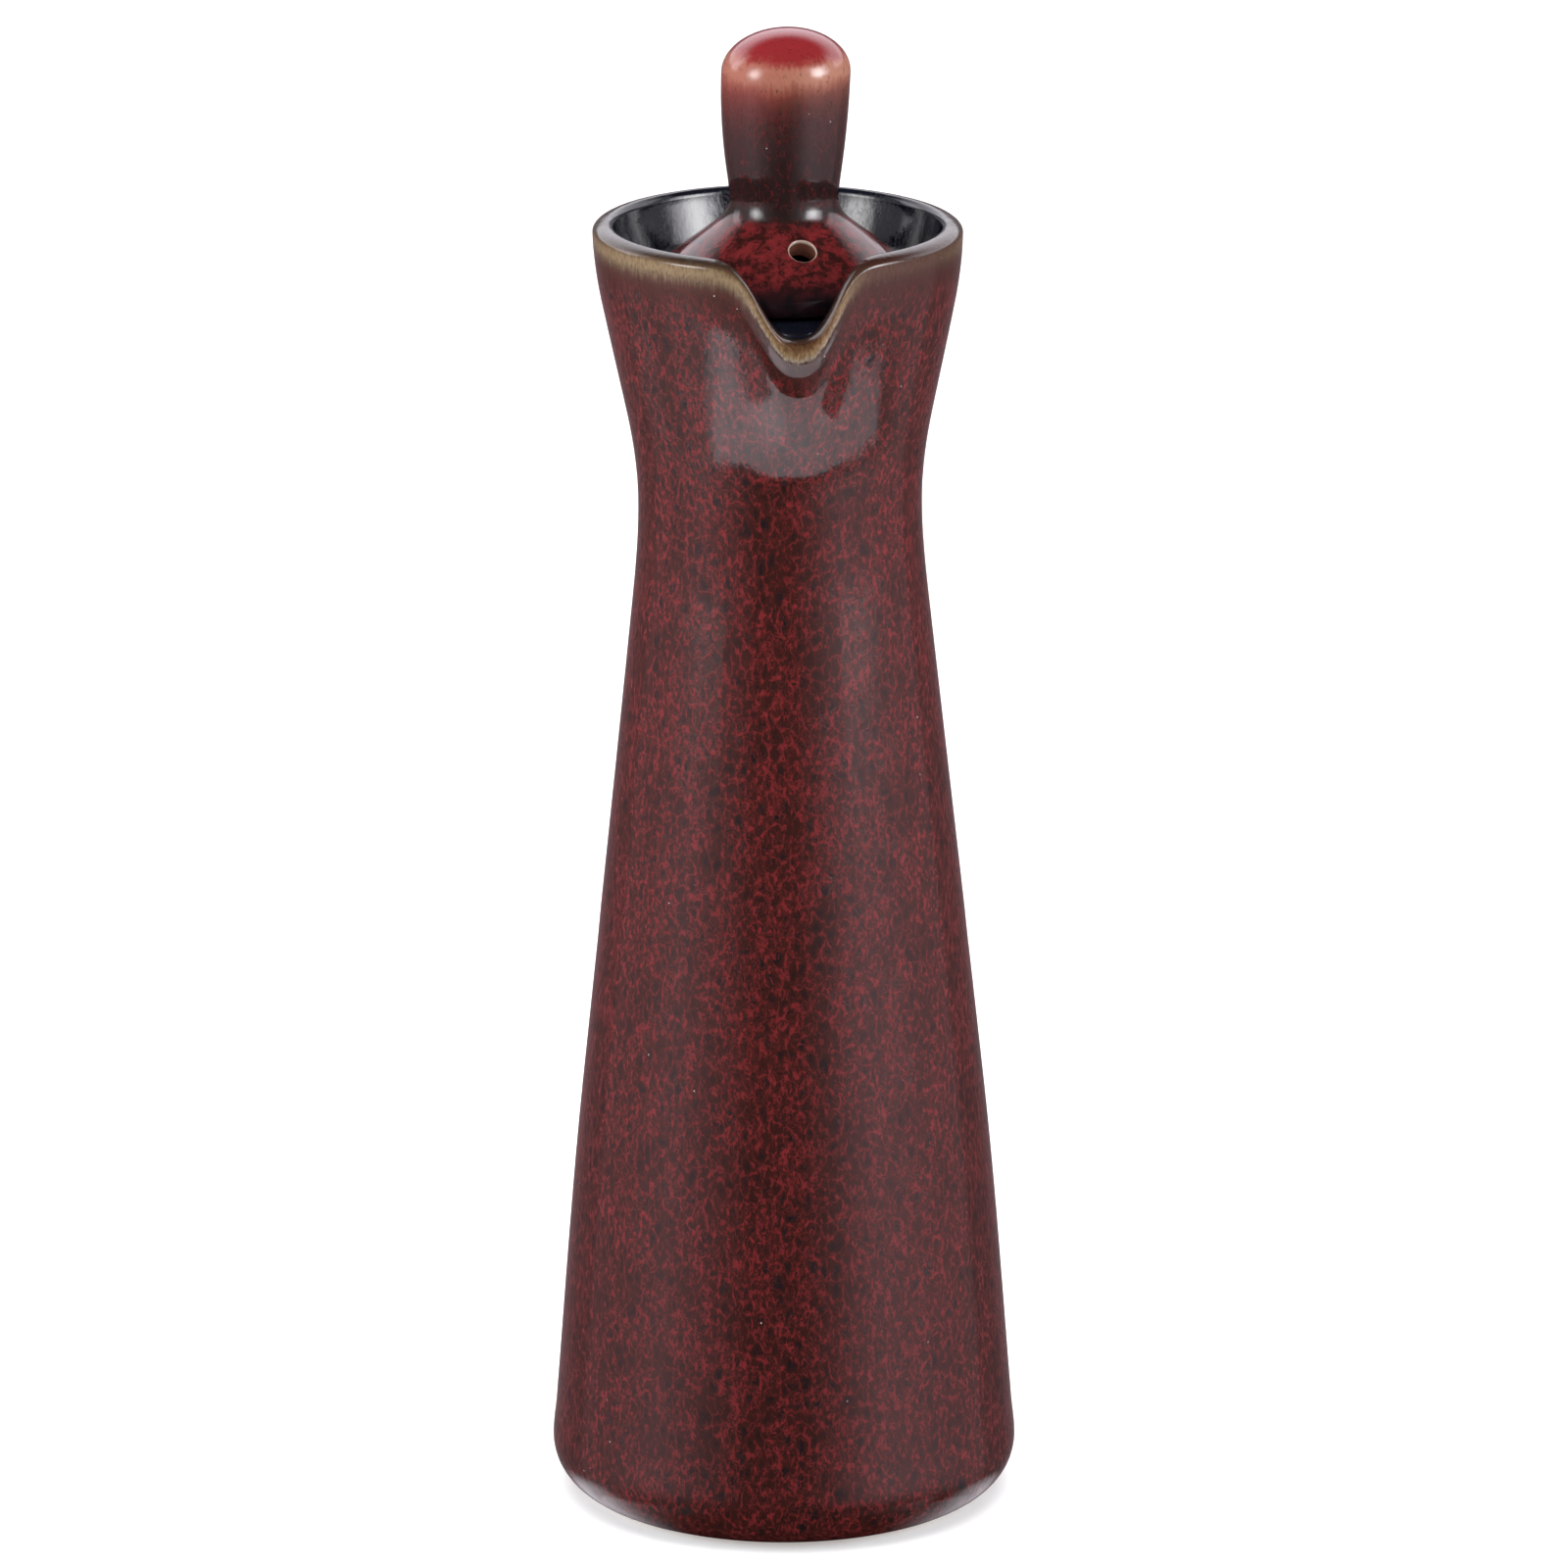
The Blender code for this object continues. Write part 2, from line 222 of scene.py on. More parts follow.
def body_outline():
    """(radius, height) points from the inner floor's middle, over the rim, to the foot's middle."""
    corner_height = FLOOR_TOP + FLOOR_CORNER
    corner_radius = side_radius(corner_height) - WALL - FLOOR_CORNER
    points = [(0.0, FLOOR_TOP)]
    corner = (corner_radius, corner_height)
    points += arc(corner, (FLOOR_CORNER, FLOOR_CORNER), -90.0, 0.0, FLOOR_CORNER_STEPS)
    for i in range(1, INSIDE_SPANS + 1):
        height = corner_height + (NECK_HEIGHT - corner_height) * i / INSIDE_SPANS
        points.append((side_radius(height) - WALL, height))
    points.append((THROAT_RADIUS, THROAT_START))
    ledge = (THROAT_RADIUS + LEDGE_ROUND, LEDGE_HEIGHT - LEDGE_ROUND)
    points += arc(ledge, (LEDGE_ROUND, LEDGE_ROUND), 180.0, 90.0, LEDGE_STEPS)
    fillet = (LEDGE_OUTER_RADIUS - LEDGE_FILLET, LEDGE_HEIGHT + LEDGE_FILLET)
    points += arc(fillet, (LEDGE_FILLET, LEDGE_FILLET), -90.0, 0.0, LEDGE_STEPS)
    lip_centre = (RIM_CREST_RADIUS, RIM_TOP - MOUTH_ROUND_DROP)
    points += line(points[-1], (MOUTH_RADIUS, lip_centre[1]), MOUTH_WALL_SPANS)[:-1]
    lip_radii = (RIM_CREST_RADIUS - MOUTH_RADIUS, MOUTH_ROUND_DROP)
    points += arc(lip_centre, lip_radii, 180.0, 90.0, MOUTH_ROUND_STEPS)
    rim_height, rim_radius, _ = SIDE_STATIONS[0]
    brow_radii = (rim_radius - RIM_CREST_RADIUS, RIM_TOP - rim_height)
    points += arc((RIM_CREST_RADIUS, rim_height), brow_radii, 90.0, 0.0, BROW_STEPS)[1:]
    for top, bottom, spans in zip(SIDE_STATIONS, SIDE_STATIONS[1:], SIDE_SPANS):
        points += [hermite(top, bottom, i / spans) for i in range(1, spans + 1)]
    foot_height, foot_radius, _ = SIDE_STATIONS[-1]
    ring_outer = foot_radius - FOOT_ROUND
    foot = (ring_outer, foot_height)
    points += arc(foot, (FOOT_ROUND, foot_height), 0.0, -90.0, FOOT_ROUND_STEPS)[1:]
    ring_inner = ring_outer - FOOT_RING_WIDTH
    points.append((ring_inner, 0.0))
    points.append((ring_inner - RECESS_CHAMFER, FOOT_RECESS))
    points.append((0.0, FOOT_RECESS))
    return points


def lid_outline():
    """(radius, height) points from the knob's top, around the plug's end, to the top of the hollow."""
    dome_centre = (0.0, KNOB_TOP - KNOB_DOME)
    points = arc(dome_centre, (KNOB_RADIUS, KNOB_DOME), 90.0, 0.0, DOME_STEPS)
    slope_sin = math.sin(SHOULDER_SLOPE)
    slope_cos = math.cos(SHOULDER_SLOPE)
    slope_tan = math.tan(SHOULDER_SLOPE)
    edge_centre = (SHOULDER_RADIUS - SHOULDER_ROUND, SHOULDER_EDGE_HEIGHT)
    edge_top = (
        edge_centre[0] + SHOULDER_ROUND * slope_sin,
        edge_centre[1] + SHOULDER_ROUND * slope_cos,
    )
    fillet_foot = KNOB_FOOT_RADIUS + KNOB_FOOT_FILLET * (1.0 - slope_sin)
    fillet_rise = (edge_top[0] - fillet_foot) * slope_tan
    fillet_centre = (
        KNOB_FOOT_RADIUS + KNOB_FOOT_FILLET,
        edge_top[1] + fillet_rise + KNOB_FOOT_FILLET * slope_cos,
    )
    knob_stations = (
        (dome_centre[1], KNOB_RADIUS, 0.0),
        (KNOB_LOWER_HEIGHT, KNOB_LOWER_RADIUS, KNOB_LOWER_TAPER),
        (fillet_centre[1], KNOB_FOOT_RADIUS, 0.0),
    )
    for top, bottom, spans in zip(knob_stations, knob_stations[1:], KNOB_SPANS):
        points += [hermite(top, bottom, i / spans) for i in range(1, spans + 1)]
    slope_degrees = math.degrees(SHOULDER_SLOPE)
    fillet_radii = (KNOB_FOOT_FILLET, KNOB_FOOT_FILLET)
    points += arc(fillet_centre, fillet_radii, 180.0, 270.0 - slope_degrees, KNOB_FILLET_STEPS)[1:]
    edge_radii = (SHOULDER_ROUND, SHOULDER_ROUND)
    edge = arc(edge_centre, edge_radii, 90.0 - slope_degrees, 0.0, SHOULDER_EDGE_STEPS)
    points += line(points[-1], edge[0], SHOULDER_SPANS) + edge[1:]
    flange = (SHOULDER_RADIUS - FLANGE_ROUND, FLANGE_ROUND)
    points += arc(flange, (FLANGE_ROUND, FLANGE_ROUND), 0.0, -90.0, FLANGE_STEPS)
    plug_inner = PLUG_RADIUS - PLUG_WALL
    roof_height = edge_top[1] - HOLLOW_ROOF_DROP
    roof_foot = roof_height + (edge_top[0] - plug_inner) * slope_tan
    roof_top = roof_height + (edge_top[0] - HOLLOW_KNOB_RADIUS) * slope_tan
    points.append((PLUG_RADIUS, 0.0))
    plug_end = ((PLUG_RADIUS + plug_inner) / 2.0, PLUG_WALL / 2.0 - PLUG_LENGTH)
    points += arc(plug_end, (PLUG_WALL / 2.0, PLUG_WALL / 2.0), 0.0, -180.0, PLUG_END_STEPS)
    points += [(plug_inner, roof_foot), (HOLLOW_KNOB_RADIUS, roof_top)]
    knob_hollow = (0.0, HOLLOW_KNOB_TOP - HOLLOW_KNOB_RADIUS)
    hollow_radii = (HOLLOW_KNOB_RADIUS, HOLLOW_KNOB_RADIUS)
    points += arc(knob_hollow, hollow_radii, 0.0, 90.0, HOLLOW_TOP_STEPS)
    return points


def applied(piece):
    """Puts the mesh that the piece's modifiers make in place of its own."""
    old = piece.data
    evaluated = piece.evaluated_get(bpy.context.evaluated_depsgraph_get())
    piece.data = bpy.data.meshes.new_from_object(evaluated)
    piece.modifiers.clear()
    piece.data.name = piece.name
    bpy.data.meshes.remove(old)


def turned(name, outline, steps):
    """A new object: the outline turned once around the Z axis."""
    mesh = bpy.data.meshes.new(name)
    points = [(radius if radius > MERGE_DISTANCE else 0.0, 0.0, height) for radius, height in outline]
    mesh.from_pydata(points, [(i, i + 1) for i in range(len(points) - 1)], [])
    piece = bpy.data.objects.new(name, mesh)
    bpy.context.scene.collection.objects.link(piece)
    screw = piece.modifiers.new("turn", "SCREW")
    screw.axis = "Z"
    screw.steps = steps
    screw.render_steps = steps
    screw.use_merge_vertices = True
    screw.merge_threshold = MERGE_DISTANCE
    applied(piece)
    return piece


def finish_mesh(piece):
    piece.data.shade_smooth()
    piece.data.set_sharp_from_angle(angle=SMOOTH_ANGLE)


def glaze_swell(point):
    """The uneven lie of the glaze at a point, from 0 to 1."""
    broad, small = (
        noise.noise(Vector((point.x / width, point.y / width, point.z / height)))
        for width, height in (BROAD_SWELL, SMALL_SWELL)
    )
    return 0.5 + BROAD_SHARE * broad + SMALL_SHARE * small


def is_outside(radius, height):
    """Whether a point of the turned body is on its outer side, underside included."""
    if height > SIDE_STATIONS[0][0]:
        return radius >= RIM_CREST_RADIUS - MERGE_DISTANCE
    middle = side_radius(max(height, SIDE_STATIONS[-1][0])) - WALL / 2.0
    return radius >= middle or height < FLOOR_TOP - MERGE_DISTANCE


def make_body():
    """The bottle, with its notch pressed in and its glaze uneven.

    The mesh keeps, for the glaze, how far each vertex lies below the rim's crest in millimetres, whether
    it is inside, and how deep the notch is there.
    """
    body = turned("bottle_body_glazed", body_outline(), BODY_STEPS)
    mesh = body.data
    below = mesh.attributes.new("below_rim", "FLOAT", "POINT")
    inner = mesh.attributes.new("inside", "FLOAT", "POINT")
    notched = mesh.attributes.new("notch", "FLOAT", "POINT")
    for vertex in mesh.vertices:
        x, y, z = vertex.co
        radius = math.hypot(x, y)
        outside = is_outside(radius, z)
        notch = math.exp(-((abs(x) / NOTCH_HALF_WIDTH) ** NOTCH_SHARPNESS)) if y < 0.0 else 0.0
        swell = math.exp(-((x / POUCH_HALF_WIDTH) ** 2)) if y < 0.0 else 0.0
        if outside:
            drop_share = smooth_step(z, NOTCH_ROOT, NOTCH_FULL)
            push = POUCH_REACH * smooth_step(z, POUCH_ROOT, POUCH_CREST)
            push += (LIP_REACH - POUCH_REACH) * smooth_step(z, POUCH_CREST, LIP_BEAD_FULL)
            if radius > FOOT_RADIUS - FOOT_ROUND:
                thin = GLAZE_SWELL * glaze_swell(vertex.co) * smooth_step(z, 0.0, FOOT_ROUND)
                vertex.co.x -= thin * x / radius
                vertex.co.y -= thin * y / radius
        else:
            drop_share = max(0.0, (z - LEDGE_HEIGHT) / (RIM_TOP - LEDGE_HEIGHT))
            push = LIP_REACH * drop_share
        bead = LIP_BEAD * smooth_step(notch, BEAD_NOTCH_START, BEAD_NOTCH_FULL)
        bead *= smooth_step(z, LIP_BEAD_START, LIP_BEAD_FULL)
        vertex.co.y -= push * swell + bead
        vertex.co.z -= NOTCH_DEPTH * notch * drop_share
        crest = RIM_TOP - NOTCH_DEPTH * notch
        below.data[vertex.index].value = (crest - vertex.co.z) / MM
        inner.data[vertex.index].value = 0.0 if outside else 1.0
        notched.data[vertex.index].value = notch
        mouth_share = max(0.0, (vertex.co.z - LEDGE_HEIGHT) / (RIM_TOP - LEDGE_HEIGHT))
        towards_back = max(0.0, 1.0 + vertex.co.y / RIM_CREST_RADIUS) / 2.0
        vertex.co.z += BACK_RISE * mouth_share * towards_back
        share = vertex.co.z / RIM_TOP
        vertex.co.x -= LEAN * share * share
    finish_mesh(body)
    return body


def shoulder_point():
    """Where the pouring hole's axis meets the lid's shoulder, and the axis, pointing out."""
    outward = Vector((math.sin(HOLE_TURN), -math.cos(HOLE_TURN), 0.0))
    edge_radius = SHOULDER_RADIUS - SHOULDER_ROUND * (1.0 - math.sin(SHOULDER_SLOPE))
    edge_height = SHOULDER_EDGE_HEIGHT + SHOULDER_ROUND * math.cos(SHOULDER_SLOPE)
    height = edge_height + (edge_radius - HOLE_REACH) * math.tan(SHOULDER_SLOPE)
    direction = outward * math.sin(SHOULDER_SLOPE) + Vector((0.0, 0.0, math.cos(SHOULDER_SLOPE)))
    return outward * HOLE_REACH + Vector((0.0, 0.0, LID_SEAT + height)), direction


def make_hole_cutter():
    """A rod that widens like a trumpet where it leaves the shoulder, to round the hole's edge."""
    outline = [(0.0, CUTTER_TOP), (HOLE_RADIUS + HOLE_ROUND * CUTTER_FLARE, CUTTER_TOP)]
    centre = (HOLE_RADIUS + HOLE_ROUND, -HOLE_ROUND)
    outline += arc(centre, (HOLE_ROUND, HOLE_ROUND), CUTTER_ROUND_START, 180.0, CUTTER_ROUND_STEPS)
    outline += [(HOLE_RADIUS, CUTTER_END), (0.0, CUTTER_END)]
    cutter = turned("hole_cutter", outline, CUTTER_STEPS)
    place, direction = shoulder_point()
    turn = direction.to_track_quat("Z", "Y").to_matrix().to_4x4()
    cutter.data.transform(Matrix.Translation(place) @ turn)
    return cutter


def make_lid():
    """The lid in its place on the ledge, with its knob leaning and its pouring hole cut."""
    lid = turned("lid_glazed", lid_outline(), LID_STEPS)
    for vertex in lid.data.vertices:
        share = max(0.0, (vertex.co.z - KNOB_LOWER_HEIGHT) / (KNOB_TOP - KNOB_LOWER_HEIGHT))
        vertex.co.x += KNOB_LEAN * share * share
        vertex.co.z += LID_SEAT
    cutter = make_hole_cutter()
    hole = lid.modifiers.new("pouring_hole", "BOOLEAN")
    hole.operation = "DIFFERENCE"
    hole.solver = "EXACT"
    hole.object = cutter
    applied(lid)
    bpy.data.objects.remove(cutter, do_unlink=True)
    finish_mesh(lid)
    return lid


class Graph:
    """Short ways to add and link the nodes of one node tree."""

    def __init__(self, tree):
        self.tree = tree

    def put(self, socket, value):
        if isinstance(value, bpy.types.NodeSocket):
            self.tree.links.new(value, socket)
        elif isinstance(value, tuple) and socket.type == "RGBA":
            socket.default_value = (*value, 1.0)
        else:
            socket.default_value = value

    def node(self, kind, settings=None, **inputs):
        made = self.tree.nodes.new(kind)
        for name, value in (settings or {}).items():
            setattr(made, name, value)
        for name, value in inputs.items():
            self.put(made.inputs[name], value)
        return made

    def math(self, operation, first, second=0.0, third=0.0):
        made = self.node("ShaderNodeMath", {"operation": operation})
        for socket, value in zip(made.inputs, (first, second, third)):
            self.put(socket, value)
        return made.outputs[0]

    def vector(self, operation, first, second=(0.0, 0.0, 0.0)):
        made = self.node("ShaderNodeVectorMath", {"operation": operation})
        self.put(made.inputs[0], first)
        self.put(made.inputs[1], second)
        return made.outputs["Value" if operation in ("DOT_PRODUCT", "LENGTH") else "Vector"]

    def scaled(self, vector, factor):
        return self.vector("MULTIPLY", vector, (factor, factor, factor))

    def drawn_out(self, vector, share):
        """The vector with its Z multiplied by share, which draws patterns out along Z."""
        return self.vector("MULTIPLY", vector, (1.0, 1.0, share))

    def split(self, vector):
        return self.node("ShaderNodeSeparateXYZ", Vector=vector).outputs

    def noise(self, vector, scale, detail=2.0, roughness=0.5):
        inputs = {"Vector": vector, "Scale": scale, "Detail": detail, "Roughness": roughness}
        return self.node("ShaderNodeTexNoise", **inputs).outputs[0]

    def drawn_noise(self, vector, share, scale, detail, roughness):
        return self.noise(self.drawn_out(vector, share), scale, detail, roughness)

    def noise_vector(self, vector, scale, detail):
        return self.node("ShaderNodeTexNoise", Vector=vector, Scale=scale, Detail=detail).outputs[1]

    def edges(self, vector, scale):
        settings = {"feature": "DISTANCE_TO_EDGE"}
        voronoi = self.node("ShaderNodeTexVoronoi", settings, Vector=vector, Scale=scale)
        return voronoi.outputs["Distance"]

    def between(self, value, low, high, start=0.0, end=1.0):
        """start below low and end above high, with a smooth change between them."""
        made = self.node("ShaderNodeMapRange", {"interpolation_type": "SMOOTHSTEP"}, Value=value)
        names = ("From Min", "From Max", "To Min", "To Max")
        for name, number in zip(names, (low, high, start, end)):
            self.put(made.inputs[name], number)
        return made.outputs[0]

    def window(self, value, low, full, fading, high):
        """1 from full to fading and 0 outside low and high, with smooth changes between them."""
        rising = self.between(value, low, full)
        return self.math("MULTIPLY", rising, self.between(value, fading, high, 1.0, 0.0))

    def blend(self, share, first, second, how="MIX"):
        made = self.node("ShaderNodeMix", {"data_type": "RGBA", "blend_type": how})
        self.put(made.inputs[0], share)
        self.put(made.inputs[6], first)
        self.put(made.inputs[7], second)
        return made.outputs[2]

    def ramp(self, share, stops):
        made = self.node("ShaderNodeValToRGB", Fac=share)
        elements = made.color_ramp.elements
        while len(elements) < len(stops):
            elements.new(0.5)
        for element, (place, colour) in zip(elements, stops):
            element.position = place
            element.color = (*colour, 1.0)
        return made.outputs[0]

    def attribute(self, name):
        return self.node("ShaderNodeAttribute", {"attribute_name": name}).outputs["Fac"]


CORE = (0.0045, 0.0040, 0.0050)
GROUND = (0.0145, 0.0046, 0.0036)
RUST = (0.0375, 0.0062, 0.0050)
VEIN = (0.0630, 0.0084, 0.0086)
VEIN_BRIGHT = (0.1020, 0.0116, 0.0132)
INSIDE_BLACK = (0.0040, 0.0048, 0.0090)
BARE_CLAY = (0.42, 0.31, 0.21)
DARK_CLAY = (0.30, 0.21, 0.14)
# Pale colour painted into the pin-pricks: a painted glint
PIT_GLINT = (0.50, 0.44, 0.42)
GLAZE_IOR = 1.56
BARE_ROUGHNESS = 0.6  # how much rougher the bare clay is

# Net of veins: scales per millimetre, and noises that bend it as (scale, detail, size in millimetres)
BODY_STRETCH = 0.64
LID_STRETCH = 0.60
NET_BENDS = ((0.42, 2.0, 2.8), (2.0, 3.0, 1.1))
NET_SCALE = 0.58
FINE_NET_SCALE = 1.25

# Noises over the net's own coordinates: scale per millimetre, detail and roughness
PATCHES = (0.20, 3.0, 0.55)
CLUMPS = (1.25, 3.0, 0.6)

# Noises over the piece: how much of Z counts, then scale per millimetre, detail and roughness
WAVES = (0.6, 0.42, 2.0, 0.5)
PEEL = (1.0, 1.5, 2.0, 0.5)
BODY_STREAKS = (0.12, 2.4, 3.0, 0.6)
BODY_MOTTLE = (0.6, 2.2, 4.0, 0.7)
CLAY_GRAIN = (1.0, 1.3, 4.0, 0.7)
LID_STREAKS = (0.15, 1.6, 3.0, 0.6)
LID_SPECKLE = (0.45, 1.9, 4.0, 0.7)
LID_DRIFT = (1.0, 0.16, 2.0, 0.5)
SHOULDER_CLOUDS = (1.0, 0.55, 6.0, 0.68)

# Ranges for Graph.between: from, to, and the values there where they aren't 0 and 1
VEIN_WIDTH = (0.42, 0.72, 0.030, 0.145)
VEIN_BREAKS = (0.30, 0.48, 0.30, 1.0)
VEIN_PATCHES = (0.32, 0.52, 0.50, 1.0)
VEIN_FADE = (0.35, 1.0, 1.0, 0.0)
THREAD_WIDTH = (0.44, 0.74, 0.02, 0.17)
THREAD_PATCHES = (0.40, 0.60, 0.20, 0.9)
HAZE_FADE = (0.04, 0.40, 1.0, 0.0)
HAZE_CLUMPS = (0.34, 0.60, 0.20, 1.0)
HAZE_PATCHES = (0.36, 0.56, 0.55, 1.0)
DROP_CORES = (0.24, 0.42)
BRIGHT_CLUMPS = (0.46, 0.66)

# Pits and relief: distances in Voronoi cells, depths as shares of the bump's own, and how strongly the
# pits are painted pale as painted glints
PIT_SCALE = 0.30
PIT_CHOICE = 0.80
PIT_EDGE = (0.020, 0.045, 1.0, 0.0)
PIT_GLINT_STRENGTH = 0.8
PIT_DEPTH = 1.5
PEEL_RELIEF = 0.30
VEIN_RELIEF = 0.25
HOLE_RELIEF = 30.0
BODY_BUMP = 0.000028  # metres
LID_BUMP = 0.000013
GLAZE_ROUGHNESS = (0.3, 0.7, 0.035, 0.075)


def new_material(name):
    """A Principled material, its graph and its shader."""
    material = bpy.data.materials.new(name)
    material.use_nodes = True
    return material, Graph(material.node_tree), material.node_tree.nodes["Principled BSDF"]


def new_glaze(name):
    """A glossy material, its graph, its shader and its coordinates in millimetres."""
    material, graph, shader = new_material(name)
    shader.inputs["IOR"].default_value = GLAZE_IOR
    place = graph.node("ShaderNodeTexCoord").outputs["Object"]
    return material, graph, shader, graph.scaled(place, 1.0 / MM)


def crimson_veins(graph, place, stretch):
    """Dark drops in a net of broken crimson veins with a rusty haze along them, drawn out along Z.

    The colour, and where the veins are.
    """
    drawn = graph.drawn_out(place, stretch)
    bent = drawn
    for scale, detail, size in NET_BENDS:
        offset = graph.vector("SUBTRACT", graph.noise_vector(drawn, scale, detail), (0.5, 0.5, 0.5))
        bent = graph.vector("ADD", bent, graph.scaled(offset, size))
    net = graph.edges(bent, NET_SCALE)
    fine_net = graph.edges(bent, FINE_NET_SCALE)
    patch = graph.noise(drawn, *PATCHES)
    clump = graph.noise(drawn, *CLUMPS)
    width = graph.between(clump, *VEIN_WIDTH)
    veins = graph.between(graph.math("DIVIDE", net, width), *VEIN_FADE)
    veins = graph.math("MULTIPLY", veins, graph.between(clump, *VEIN_BREAKS))
    fine_width = graph.between(clump, *THREAD_WIDTH)
    threads = graph.between(graph.math("DIVIDE", fine_net, fine_width), *VEIN_FADE)
    threads = graph.math("MULTIPLY", threads, graph.between(patch, *THREAD_PATCHES))
    haze = graph.between(net, *HAZE_FADE)
    haze = graph.math("MULTIPLY", haze, graph.between(clump, *HAZE_CLUMPS))
    haze = graph.math("MULTIPLY", haze, graph.between(patch, *HAZE_PATCHES))
    ground = graph.blend(graph.between(net, *DROP_CORES), GROUND, CORE)
    ground = graph.blend(haze, ground, RUST)
    tone = graph.blend(graph.between(clump, *BRIGHT_CLUMPS), VEIN, VEIN_BRIGHT)
    veins = graph.math("MAXIMUM", veins, threads)
    veins = graph.math("MULTIPLY", veins, graph.between(patch, *VEIN_PATCHES))
    return graph.blend(veins, ground, tone), graph.math("MAXIMUM", veins, haze)


def pit_and_glint_mask(graph, place):
    """Sparse pin-pricks in the glaze, as a mask: dents in the bump, and pale painted glints in the
    colour.
    """
    voronoi = graph.node("ShaderNodeTexVoronoi", {"feature": "F1"}, Vector=place, Scale=PIT_SCALE)
    chosen = graph.math("GREATER_THAN", graph.split(voronoi.outputs["Color"])[0], PIT_CHOICE)
    return graph.math("MULTIPLY", graph.between(voronoi.outputs["Distance"], *PIT_EDGE), chosen)


def gloss(graph, shader, place, pits_and_glints, relief, depth):
    """The glaze's roughness, which varies a little.

    It also gives the shader a poured glaze's soft orange-peel, with pits and the faint relief of veins.
    """
    wave = graph.drawn_noise(place, *WAVES)
    peel = graph.drawn_noise(place, *PEEL)
    height = graph.math("MULTIPLY_ADD", peel, PEEL_RELIEF, wave)
    height = graph.math("SUBTRACT", height, graph.math("MULTIPLY", pits_and_glints, PIT_DEPTH))
    height = graph.math("MULTIPLY_ADD", relief, VEIN_RELIEF, height)
    bump = graph.node("ShaderNodeBump", Strength=1.0, Distance=depth, Height=height)
    graph.put(shader.inputs["Normal"], bump.outputs[0])
    return graph.between(wave, *GLAZE_ROUGHNESS)


# Colours down from the rim's crest, in millimetres, beside the spout and in its notch
RIM_BAND = (
    (0.0, (0.022, 0.016, 0.012)),
    (0.5, (0.030, 0.020, 0.013)),
    (0.9, (0.081, 0.050, 0.025)),
    (1.5, (0.158, 0.115, 0.060)),
    (2.3, (0.170, 0.126, 0.070)),
    (3.5, (0.080, 0.053, 0.032)),
    (4.3, (0.044, 0.019, 0.013)),
    (5.4, (0.033, 0.010, 0.006)),
    (9.0, (0.027, 0.009, 0.007)),
)
NOTCH_BAND_WITH_HIGHLIGHT = (
    (0.0, (0.022, 0.015, 0.011)),
    (0.4, (0.041, 0.018, 0.010)),
    (1.0, (0.081, 0.040, 0.016)),
    (1.8, (0.133, 0.078, 0.037)),
    (2.4, (0.167, 0.113, 0.058)),
    # Painted highlight: this palest stop lies along the lower edge of the notch's bead, over the tan of
    # the thin glaze
    (3.0, (0.200, 0.163, 0.126)),
    (3.4, (0.041, 0.019, 0.015)),
    (4.6, (0.027, 0.010, 0.008)),
    (9.0, (0.027, 0.009, 0.007)),
)
# How strongly the glaze breaks to tan below the rim, by degrees around the body from its spout: to the
# right of it above 0 and to the left below 0
RIM_STRENGTH = (
    (-180.0, 0.75),
    (-80.0, 0.80),
    (-45.0, 1.00),
    (8.0, 0.90),
    (22.0, 0.18),
    (50.0, 0.14),
    (85.0, 0.60),
    (180.0, 0.75),
)
# Colours up the knob, by height in millimetres
KNOB_BAND = (
    (209.0, (0.012, 0.008, 0.007)),
    (219.7, (0.016, 0.009, 0.009)),
    (225.3, (0.028, 0.013, 0.012)),
    (228.1, (0.050, 0.018, 0.014)),
    (230.0, (0.094, 0.028, 0.020)),
    (231.4, (0.172, 0.060, 0.040)),
    (232.5, (0.255, 0.112, 0.074)),
    (234.5, (0.262, 0.106, 0.073)),
    (235.4, (0.190, 0.036, 0.030)),
    (236.2, (0.165, 0.014, 0.015)),
    (239.0, (0.190, 0.015, 0.020)),
)
KNOB_RED = (0.185, 0.015, 0.017)
SHOULDER_RED = (0.165, 0.016, 0.018)
# Pale glaze break at the pouring hole's edge, made paler as a painted highlight
HOLE_EDGE_AND_HIGHLIGHT = (0.380, 0.290, 0.240)
# Brown glaze inside the pouring hole, lightened as painted light on its shaded wall
HOLE_BROWN_AND_LIGHT = (0.170, 0.065, 0.045)

# Around the pouring hole, in millimetres: out from its wall, and up its axis from the shoulder
HOLE_LINE = (0.08, 0.24, 1.0, 0.0)
HOLE_LINE_START = (-0.8, -0.35)
HOLE_SWELL = (0.3, 1.5, 1.0, 0.0)
HOLE_SWELL_START = (-1.0, -0.5)

# More ranges for Graph.between, on the body: over its height for painted shade, darker towards the foot,
# then over its notch, run of glaze and mottling
BODY_SHADE_BY_HEIGHT = (0.0, 175.0, 0.97, 1.22)
BARE_RING = (0.25, 0.55, 1.0, 0.0)
NOTCH_SIDES = (0.10, 0.60)
RUN_SIZE = (0.0, 1.0, 2.6, 1.5)
RUN_START = (0.3, 2.0)
RIM_END = (3.6, 10.5)
RIM_MOTTLE = (0.34, 0.66, 1.0, 0.75)
NOTCH_MOTTLE = (0.36, 0.62, 1.12, 0.66)
RIM_FLECKS = (0.48, 0.72, 0.0, 0.35)

